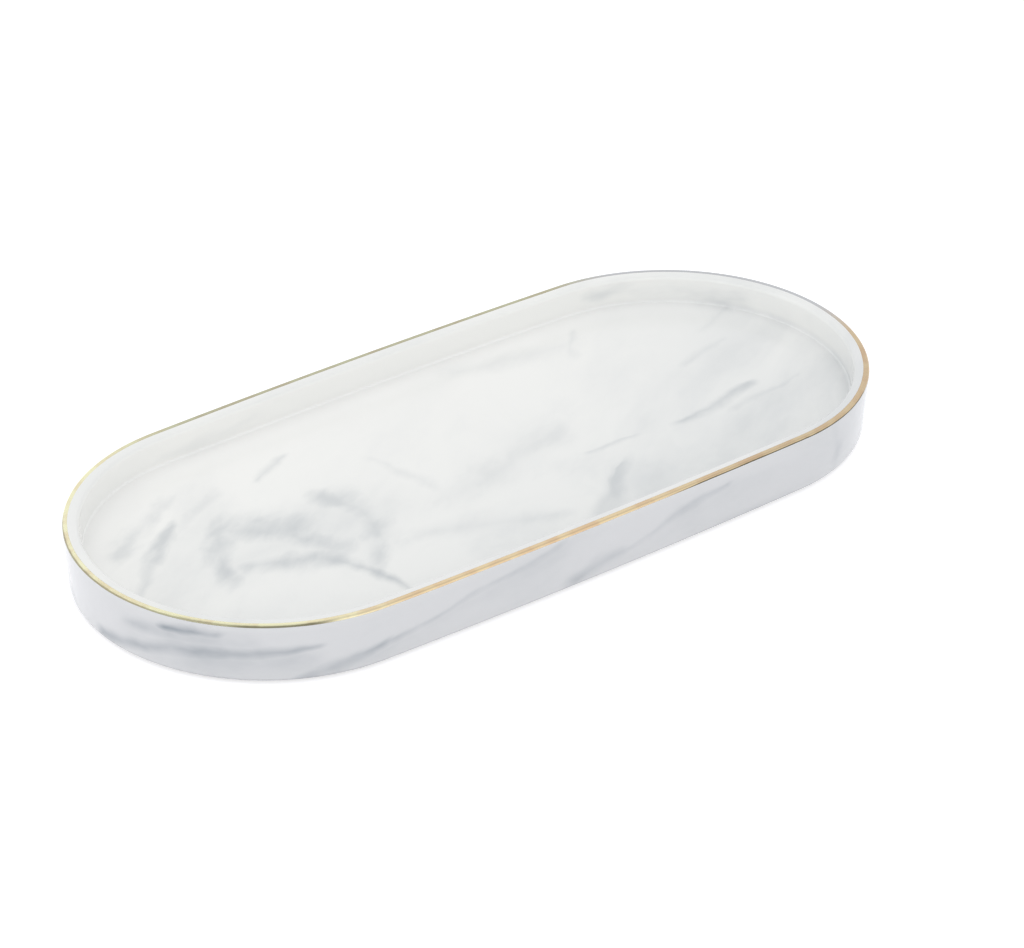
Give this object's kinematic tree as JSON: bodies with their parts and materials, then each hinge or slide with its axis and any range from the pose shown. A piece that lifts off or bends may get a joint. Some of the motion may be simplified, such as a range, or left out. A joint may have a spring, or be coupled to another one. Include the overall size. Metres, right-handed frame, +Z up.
{
  "type": "vanity tray",
  "caption": "Long oval vanity tray: a shallow glazed ceramic dish with a rounded, gilded rim, a marbled finish and soft pads underneath, for jewellery and small toiletries.",
  "frame": {"origin": "centre of the tray, on the surface that its four pads stand on", "axes": "+X along the tray's length, +Y across it, +Z up out of the dish"},
  "size_m": [0.25, 0.1132, 0.0186],
  "materials": {
    "glazed_body": "glossy white glaze with soft grey marbling",
    "gilding": "bright fired gold",
    "pads": "clear soft silicone"
  },
  "bodies": {
    "root": {"tray_body": "glazed_body", "gilded_rim": "gilding", "foot_pad_front_left": "pads", "foot_pad_front_right": "pads", "foot_pad_back_left": "pads", "foot_pad_back_right": "pads"}
  },
  "joints": []
}
